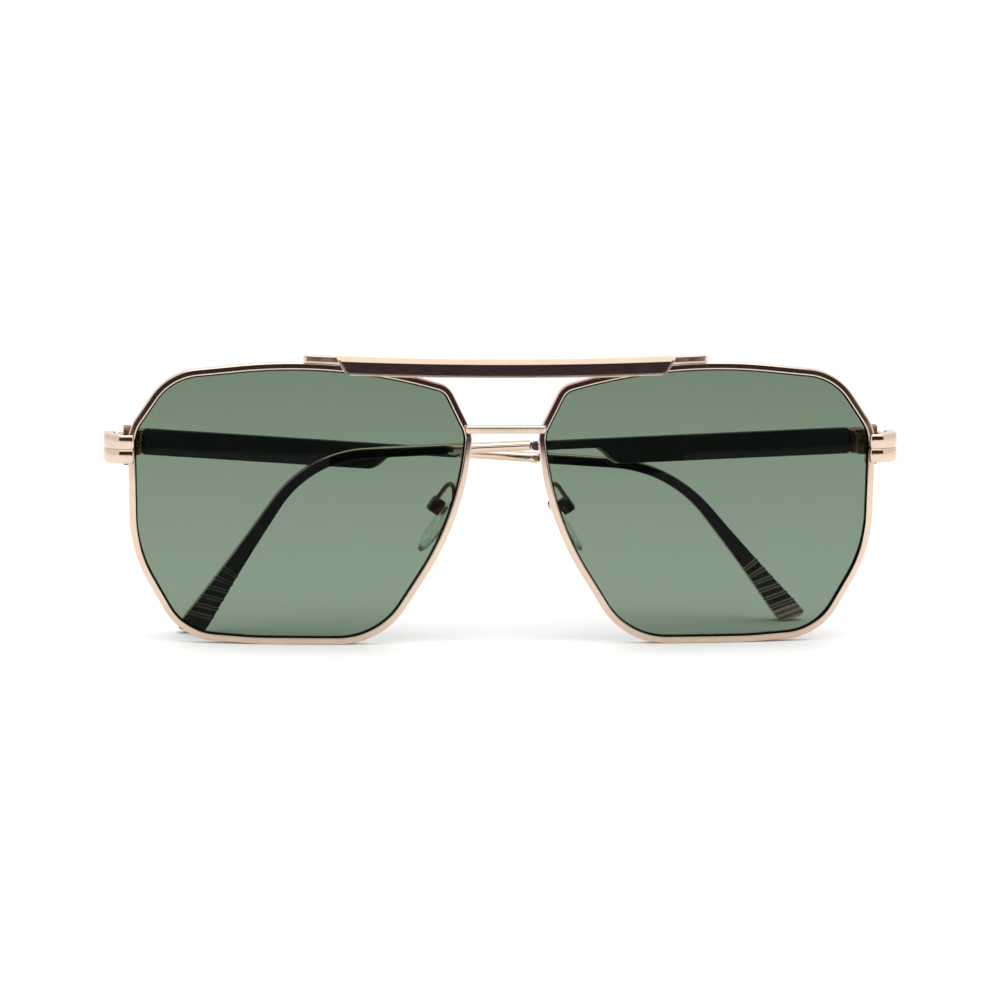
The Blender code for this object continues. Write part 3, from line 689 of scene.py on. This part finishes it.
def temple_side(name, sign, opened, bend_start, bend_radius, slope, painted_sheen_level):
    """A temple's set, worked out from its joint: pin place, axes, bend and where its tip ends.

    Angles are in degrees. The last argument, from 0 to 1, sets how strongly the tip's end carries
    its painted reflection, and takes the rib grooves' painted highlights from half to full
    strength.
    """
    joint = JOINTS[f"temple_{name}_hinge"]
    droop = math.asin(joint["axis"][0])
    opened = math.radians(opened)
    folded = np.array([-sign * math.cos(droop), 0, -math.sin(droop)])
    back = np.array([0.0, 1.0, 0.0])
    arm = folded * math.cos(opened) + back * math.sin(opened)
    out = back * math.cos(opened) - folded * math.sin(opened)
    pin = np.array([-sign * math.sin(droop), 0, math.cos(droop)])
    bend = math.radians(slope) - droop
    s = bend_start + bend_radius * math.sin(bend)
    h = ARM_H - bend_radius * (1 - math.cos(bend))
    height = SPLIT_Z - s * math.sin(droop) + h * math.cos(droop)
    straight = (height - TIP_HALF) / math.sin(math.radians(slope))
    grown = bend_start + bend_radius * bend + straight
    overrun = TIP_CORNER + (TIP_HALF - TIP_CORNER) * math.tan(math.radians(slope) / 2)
    overrun += TIP_HALF * math.tan(TIP_SKEW)
    return SimpleNamespace(
        name=name, sign=sign, origin=np.array(joint["pos_m"]) / MM, axes=np.stack([arm, out, pin]),
        bend=bend, bend_start=bend_start, bend_radius=bend_radius, grown=grown,
        end=grown + overrun, painted_sheen_level=painted_sheen_level)


def arm_line(side, q):
    """The arm's middle line at lengths q, as (s, h), and the direction across it.

    It is straight to bend_start, then an arc of bend_radius through the bend, then straight.
    """
    turned = np.clip((q - side.bend_start) / side.bend_radius, 0, side.bend)
    rest = np.maximum(q - side.bend_start - side.bend_radius * side.bend, 0)
    straight = np.minimum(q, side.bend_start)
    s = straight + side.bend_radius * np.sin(turned) + rest * math.cos(side.bend)
    h = ARM_H - side.bend_radius * (1 - np.cos(turned)) - rest * math.sin(side.bend)
    return np.stack([s, h], axis=-1), np.stack([np.sin(turned), np.cos(turned)], axis=-1)


def arm_half(side, q):
    """Half of the arm's depth: even, then growing along the tip by a power law."""
    share = np.clip((q - side.bend_start) / (side.grown - side.bend_start), 0, 1)
    return ARM_HALF + (TIP_HALF - ARM_HALF) * share ** TIP_GROWTH


def step_up(q, low, high, shift=0.0):
    """The panel's lower edge, rising as half a cosine wave to the narrow arm's."""
    share = np.clip((q - STEP_S[0] - shift) / (STEP_S[1] - STEP_S[0]), 0, 1)
    return low + (high - low) * (1 - np.cos(np.pi * share)) / 2


def strip(side, q, low, high, inner, outer, edge):
    """Rows of a flat bar along the arm, in the row frame.

    At length q it fills low to high across the middle line and inner to outer from the pin, and
    its section is a rectangle with corners of radius edge. Towards the tip's end the sections lean
    by TIP_SKEW, growing as a smooth step from 14 to 9 mm before the end.
    """
    line, across = arm_line(side, q)
    inner, outer, low, high = (np.broadcast_to(v, q.shape) for v in (inner, outer, low, high))
    section = rounded_section((high - low) / 2, (outer - inner) / 2, edge)
    reach = ((high + low) / 2)[:, None] + section[..., 0]
    lean = np.clip((q - side.end + 14.0) / 5.0, 0, 1)
    lean = math.tan(TIP_SKEW) * lean * lean * (3 - 2 * lean)
    onward = across[:, ::-1] * (1, -1)
    place = line[:, None] + (across + onward * lean[:, None])[:, None] * reach[..., None]
    t = ((inner + outer) / 2)[:, None] + section[..., 1]
    local = np.stack([place[..., 0], t, place[..., 1]], axis=-1)
    return side.origin + local @ side.axes


def temple_metal(side):
    """The metal arm: the plate behind the lining and grip, its butt at the hinge, and the bare arm.

    The bare arm swells just before the sleeve, as the bell curve exp(-(away / 0.6) ** 2).
    """
    node = f"temple_shell_{side.name}"
    body = f"temple_{side.name}"
    q = stations(BUTT_S, side.end, 420, 0.4, TIP_CORNER)
    half = arm_half(side, q)
    step = np.clip((q - LINING_END + 1.0) / 1.0, 0, 1)
    high = half - (PANEL_HALF - SHELL_TOP) * (1 - step)
    low = -half + step_up(q, -PANEL_HALF - ARM_H + ARM_HALF, 0.0, 0.9)
    round_start = pulled_in(q - BUTT_S, 0.4)
    round_end = pulled_in(side.end - q, TIP_CORNER)
    high = high - round_start - round_end
    low = low + round_start + round_end
    tiny = np.maximum(0.02 - (high - low) / 2, 0)
    thick = 0.5 * (round_start + 0.3 * round_end)
    rows = strip(side, q, low - tiny, high + tiny, SHELL_T + thick, OUTER_T - thick, 0.38)
    points, faces = closed_tube(rows)
    new_piece(f"temple_plate_{side.name}", points, faces, GOLD, body, "gold_metal", node)

    q = stations(BUTT_S + 0.03, LINING_START - GAP, 12, 0.3, 0.3)
    draw = pulled_in(q - q[0], 0.3) + pulled_in(q[-1] - q, 0.12)
    base = PANEL_HALF + ARM_H
    rows = strip(side, q, 0.03 - base + draw, SHELL_TOP - ARM_H - 0.03 - draw,
                 INNER_T + GAP + 0.4 * draw, SHELL_T + 0.3, 0.35)
    points, faces = closed_tube(rows)
    new_piece(f"temple_butt_{side.name}", points, faces, HINGE_GOLD_PAINTED_SHADE, body, "gold_metal", node)

    q = stations(LINING_END + 0.12, SLEEVE_START - 0.02, 30, 0.3, 0.3)
    draw = pulled_in(q - q[0], 0.2) + pulled_in(q[-1] - q, 0.3)
    draw = draw - 0.16 * np.exp(-((SLEEVE_START - 0.75 - q) / 0.6) ** 2)
    rows = strip(side, q, draw - ARM_HALF + 0.02, ARM_HALF - 0.02 - draw,
                 INNER_T + 0.2 + draw, SHELL_T + 0.9, 0.8)
    points, faces = closed_tube(rows)
    new_piece(f"temple_bare_arm_{side.name}", points, faces, GOLD, body, "gold_metal", node)


def temple_lining(side):
    """The glossy lining: a deep panel that steps up to the narrow arm and ends in a half circle."""
    arm_low = METAL_EDGE - ARM_HALF
    arm_high = ARM_HALF
    radius = (arm_high - arm_low) / 2
    q = stations(LINING_START, LINING_END, 260, 0.8, radius)
    end = pulled_in(LINING_END - q, radius)
    start = pulled_in(q - LINING_START, 0.8)
    low = step_up(q, METAL_EDGE - PANEL_HALF - ARM_H, arm_low) + start + end
    high = arm_high - start - end
    tiny = np.maximum(0.02 - (high - low) / 2, 0)
    rows = strip(side, q, low - tiny, high + tiny, INNER_T, SHELL_T - GAP, 0.28)
    points, faces = closed_tube(rows)
    new_piece(f"temple_lining_{side.name}_finished", points, faces, LINING_BLACK_PAINTED_LIGHT,
              f"temple_{side.name}", "black_plastic", f"temple_lining_{side.name}")


def temple_grip(side):
    """The tip's grip: round at both ends, with ribs near the far one.

    A rib is a raised band, exp(-(away / BAND_WIDTH) ** 4), between two fine grooves, each
    exp(-(away / LINE_WIDTH) ** 2) about a place LINE_OFFSET from the rib's middle.
    """
    start_radius = ARM_HALF - METAL_EDGE
    end_radius = TIP_CORNER - METAL_EDGE
    grip_end = side.end - METAL_EDGE
    first_rib = side.grown - LAST_RIB - RIB_PITCH * (RIB_COUNT - 1)
    q = stations(SLEEVE_START, grip_end, 220, start_radius, end_radius)
    q = np.unique(np.concatenate([q, np.arange(first_rib - 1.2, side.end - 0.2, 0.07)]))
    rib = first_rib + RIB_PITCH * np.arange(RIB_COUNT)
    away = q[:, None] - rib
    band = np.exp(-(away / BAND_WIDTH) ** 4).sum(axis=1)
    groove = (np.exp(-((away - LINE_OFFSET) / LINE_WIDTH) ** 2)
              + np.exp(-((away + LINE_OFFSET) / LINE_WIDTH) ** 2)).sum(axis=1)
    ends = pulled_in(q - SLEEVE_START, start_radius) + pulled_in(grip_end - q, end_radius)
    half = np.maximum(arm_half(side, q) - METAL_EDGE - ends + 0.12 * band - 0.04 * groove, 0.03)
    inner = INNER_T - 0.1 + 0.14 * groove - 0.10 * band + 0.35 * pulled_in(side.end - q, 1.2)
    rows = strip(side, q, -half, half, inner, SHELL_T - GAP, 0.32)
    points, faces = closed_tube(rows)
    # painted highlight on the rib grooves and painted reflection on the tip's end, in streaks
    streaks = 0.62 + 0.38 * np.cos(5.5 * (q - rib[-1]))
    end = np.clip((q - rib[-1] - 0.75) / 0.15, 0, 1) * streaks
    worn = np.clip(groove * (0.5 + 0.5 * side.painted_sheen_level) + end * side.painted_sheen_level, 0, 1).repeat(rows.shape[1])
    new_piece(f"temple_grip_{side.name}", points, faces, TIP_BLACK,
              f"temple_{side.name}", "black_plastic", f"temple_tip_{side.name}",
              attribute=("worn", np.append(worn, (0, 0))))


# ---------------------------------------------------------------- the nose pads

def pad_axes(sign):
    """The pad's length, width and facing directions as rows."""
    long = np.array([math.sin(PAD_ANGLE), 0, -math.cos(PAD_ANGLE)])
    facing = np.array([-math.cos(PAD_ANGLE), 0, -math.sin(PAD_ANGLE)])
    back = np.array([0.0, 1.0, 0.0])
    width = back * math.cos(PAD_SPLAY) - facing * math.sin(PAD_SPLAY)
    facing = facing * math.cos(PAD_SPLAY) + back * math.sin(PAD_SPLAY)
    return np.stack([long, width, facing]) * np.array([sign, 1, 1])


def on_pad(side, local):
    """Points in the pad's axes, in the row frame."""
    origin = np.array(PAD_BOX) * (side.sign, 1, 1) + (0, FRONT_Y, 0)
    return origin + local @ pad_axes(side.sign)


def nose_pad(side):
    """The clear pad: an oval lens shape with a rounded rim and a hollow for the insert behind.

    A point at share r of the way out and angle a is (length * r * cos a, width * r * sin a), wider
    at its lower end, and the two faces close on the rim as sqrt(1 - r ** 4).
    """
    r = np.sin(np.linspace(0.02, np.pi / 2, 26))[:, None]
    a = np.linspace(0, 2 * np.pi, 96, endpoint=False)[None]
    plump = 1 + 0.12 * np.cos(a)
    x = PAD_LENGTH / 2 - PAD_ABOVE + PAD_LENGTH / 2 * r * np.cos(a)
    y = PAD_WIDTH / 2 * 0.96 * r * np.sin(a) * plump
    bulge = np.sqrt(np.maximum(1 - r ** 4, 0)) * np.ones_like(a)
    level = PAD_OFFSET + 0.10 * (1 - r * r)
    hollow = 0.5 * np.exp(-((x * x + y * y) / 1.35) ** 3)
    face = np.stack([x, y, level + 0.72 * bulge], axis=-1)
    rear = np.stack([x, y, level - 0.80 * bulge + hollow], axis=-1)
    points, faces = closed_tube(on_pad(side, np.concatenate([face, rear[::-1][1:]])))
    new_piece(f"nose_pad_{side.name}_finished", points, faces, SILICONE, f"pad_{side.name}",
              "clear_pad", f"nose_pad_{side.name}", crease=60)


def smooth_route(knots, count):
    """A smooth line through the knots: cubic Hermite pieces, sloped as each knot's neighbours."""
    knots = np.array(knots, float)
    slope = np.gradient(knots, axis=0)
    at = np.linspace(0, len(knots) - 1 - 1e-9, count)
    i = at.astype(int)
    f = (at - i)[:, None]
    a = 2 * f ** 3 - 3 * f ** 2 + 1
    b = f ** 3 - 2 * f ** 2 + f
    return a * knots[i] + (1 - a) * knots[i + 1] + b * slope[i] + (f ** 3 - f ** 2) * slope[i + 1]


def pad_arm(side):
    """The wire that loops up and back from the rim, and the box that holds the pad.

    The wire is a circle carried along a smooth line, and flares at its foot as a bell curve. The
    box is a squared cup: at angle a its radius is scaled so that the section is a superellipse of
    power 4.
    """
    box = np.array(PAD_BOX)
    axes = pad_axes(1)
    foot = 9.3, float(dish(9.3, 24.6)) + RIM_DEPTH / 2 + 0.35, 24.6
    route = smooth_route([
        foot, (9.0, 4.0, 26.4), (8.95, 4.7, 28.0), (9.4, 5.5, 28.8), (10.2, 6.2, 28.3),
        (11.2, 6.7, 26.9), (12.0, 7.0, 25.6), tuple(box - axes[2] * 1.2),
    ], 90)
    along = np.gradient(route, axis=0)
    along /= np.linalg.norm(along, axis=1, keepdims=True)
    first = np.cross(along, (1.0, 0.0, 0.0))
    first /= np.linalg.norm(first, axis=1, keepdims=True)
    second = np.cross(along, first)
    a = np.linspace(0, 2 * np.pi, 24, endpoint=False)[None, :, None]
    share = np.linspace(0, 1, 90)[:, None, None]
    radius = 0.42 + 0.25 * np.exp(-(share / 0.06) ** 2)
    rows = route[:, None] + radius * (np.cos(a) * first[:, None] + np.sin(a) * second[:, None])
    points, faces = closed_tube(in_front(rows[..., 0], rows[..., 1], rows[..., 2], side.sign))
    node = f"pad_arm_{side.name}"
    new_piece(f"pad_wire_{side.name}", points, faces, HINGE_GOLD_PAINTED_SHADE, "front", "gold_metal", node)

    profile = np.array([
        (0.05, -1.6), (1.1, -1.6), (1.3, -1.55), (1.43, -1.4), (1.46, -1.2), (1.46, 0.45),
        (1.42, 0.56), (1.33, 0.6), (1.22, 0.56), (1.17, 0.45), (1.15, -0.85), (1.1, -0.9),
        (0.05, -0.9),
    ])
    a = np.linspace(0, 2 * np.pi, 64, endpoint=False)
    square = (np.abs(np.cos(a)) ** 4 + np.abs(np.sin(a)) ** 4) ** -0.25
    x = profile[:, :1] * square * np.cos(a)
    y = profile[:, :1] * square * np.sin(a)
    z = profile[:, 1:] + 0 * a
    points, faces = closed_tube(on_pad(side, np.stack([x, y, z], axis=-1)))
    new_piece(f"pad_box_{side.name}", points, faces, BOX_GOLD_PAINTED_SHADE, "front", "gold_metal", node)


# ---------------------------------------------------------------- the object

brow()
bridge()
for side in (
    temple_side("left", 1, opened=0.0, bend_start=90.5, bend_radius=21.0, slope=56.0, painted_sheen_level=0.0),
    temple_side("right", -1, opened=5.5, bend_start=89.4, bend_radius=26.0, slope=50.5, painted_sheen_level=1.0),
):
    brow_ends(side.sign)
    rim(side)
    lens(side)
    endpiece(side)
    temple_metal(side)
    temple_lining(side)
    temple_grip(side)
    nose_pad(side)
    pad_arm(side)
    for node in ("rim_lock_upper", "rim_lock_lower", "rim_screw", "front_hinge", "hinge_screw",
                 "temple_hinge", "pad_screw", "pad_insert"):
        finer(f"{node}_{side.name}", HINGE_GOLD_PAINTED_SHADE)


# ---------------------------------------------------------------- the studio

def stage_plane(name, corners, colour, rough, seen=True):
    """A flat sheet of the studio through four corners, in metres."""
    mesh = bpy.data.meshes.new(name)
    mesh.from_pydata(corners, [], [(0, 1, 2, 3)])
    material, tree, shader, where = new_material(name, Roughness=rough)
    grain = noise(tree, where, 40.0).outputs["Fac"]
    link(tree, shader, "Base Color", blend(
        tree, ramp(tree, grain, 0.0, 0.02), linear(colour), linear("#808080")))
    mesh.materials.append(material)
    obj = bpy.data.objects.new(name, mesh)
    bpy.context.scene.collection.objects.link(obj)
    obj.visible_camera = seen


def dark_flag(name, x, y, z):
    """An upright maroon-black sheet before the front, which only shows in reflections."""
    corners = [(x[0], y, z[0]), (x[1], y, z[0]), (x[1], y, z[1]), (x[0], y, z[1])]
    stage_plane(name, corners, "#24110F", 0.9, seen=False)


def softbox(name, place, target, size, power):
    """A rectangular area light turned to its target, in metres and watts."""
    data = bpy.data.lights.new(name, "AREA")
    data.shape = "RECTANGLE"
    data.size, data.size_y = size
    data.energy = power
    light = bpy.data.objects.new(name, data)
    light.location = place
    light.rotation_euler = (Vector(target) - Vector(place)).to_track_quat("-Z", "Y").to_euler()
    bpy.context.scene.collection.objects.link(light)


def camera(azimuth, elevation, roll, distance, target, width):
    """A camera that looks at the target from a distance, and sees width metres across there."""
    back = Vector((
        math.sin(azimuth) * math.cos(elevation), -math.cos(azimuth) * math.cos(elevation),
        math.sin(elevation)))
    right = Vector((math.cos(azimuth), math.sin(azimuth), 0))
    up = back.cross(right)
    turned = right * math.cos(roll) + up * math.sin(roll)
    up = back.cross(turned)
    data = bpy.data.cameras.new("camera")
    data.sensor_width = 36.0
    data.lens = data.sensor_width * distance / width
    data.clip_start = 0.01
    obj = bpy.data.objects.new("camera", data)
    matrix = Matrix((turned, up, back)).transposed().to_4x4()
    matrix.translation = target + back * distance
    obj.matrix_world = matrix
    bpy.context.scene.collection.objects.link(obj)
    bpy.context.scene.camera = obj


stage_plane("pale_floor", [(-8, -8, 0), (8, -8, 0), (8, 8, 0), (-8, 8, 0)], "#FFFFFF", 0.7)
dark_flag("dark_backdrop", (-1.3, 1.3), -1.5, (0.0, 0.6))
dark_flag("low_flag", (-0.035, 0.095), -0.335, (0.007, 0.032))
softbox("overhead_softbox", (0.0, -0.1, 1.3), (0, 0, 0), (1.2, 1.0), 7.5)
softbox("brow_softbox", (0.0, -0.9, 1.3), (0, -0.9, 0), (1.2, 0.56), 0.8)
camera(
    azimuth=math.radians(-5.0), elevation=math.radians(8.0), roll=math.radians(0.57),
    distance=1.190, target=Vector((-0.0009, FRONT_Y * MM, 0.0266)), width=1 / 5.52)

world = bpy.data.worlds.new("studio")
world.use_nodes = True
world.node_tree.nodes["Background"].inputs["Color"].default_value = (1.0, 1.0, 1.0, 1.0)
world.node_tree.nodes["Background"].inputs["Strength"].default_value = 1.0
bpy.context.scene.world = world
bpy.context.scene.view_settings.view_transform = "Standard"
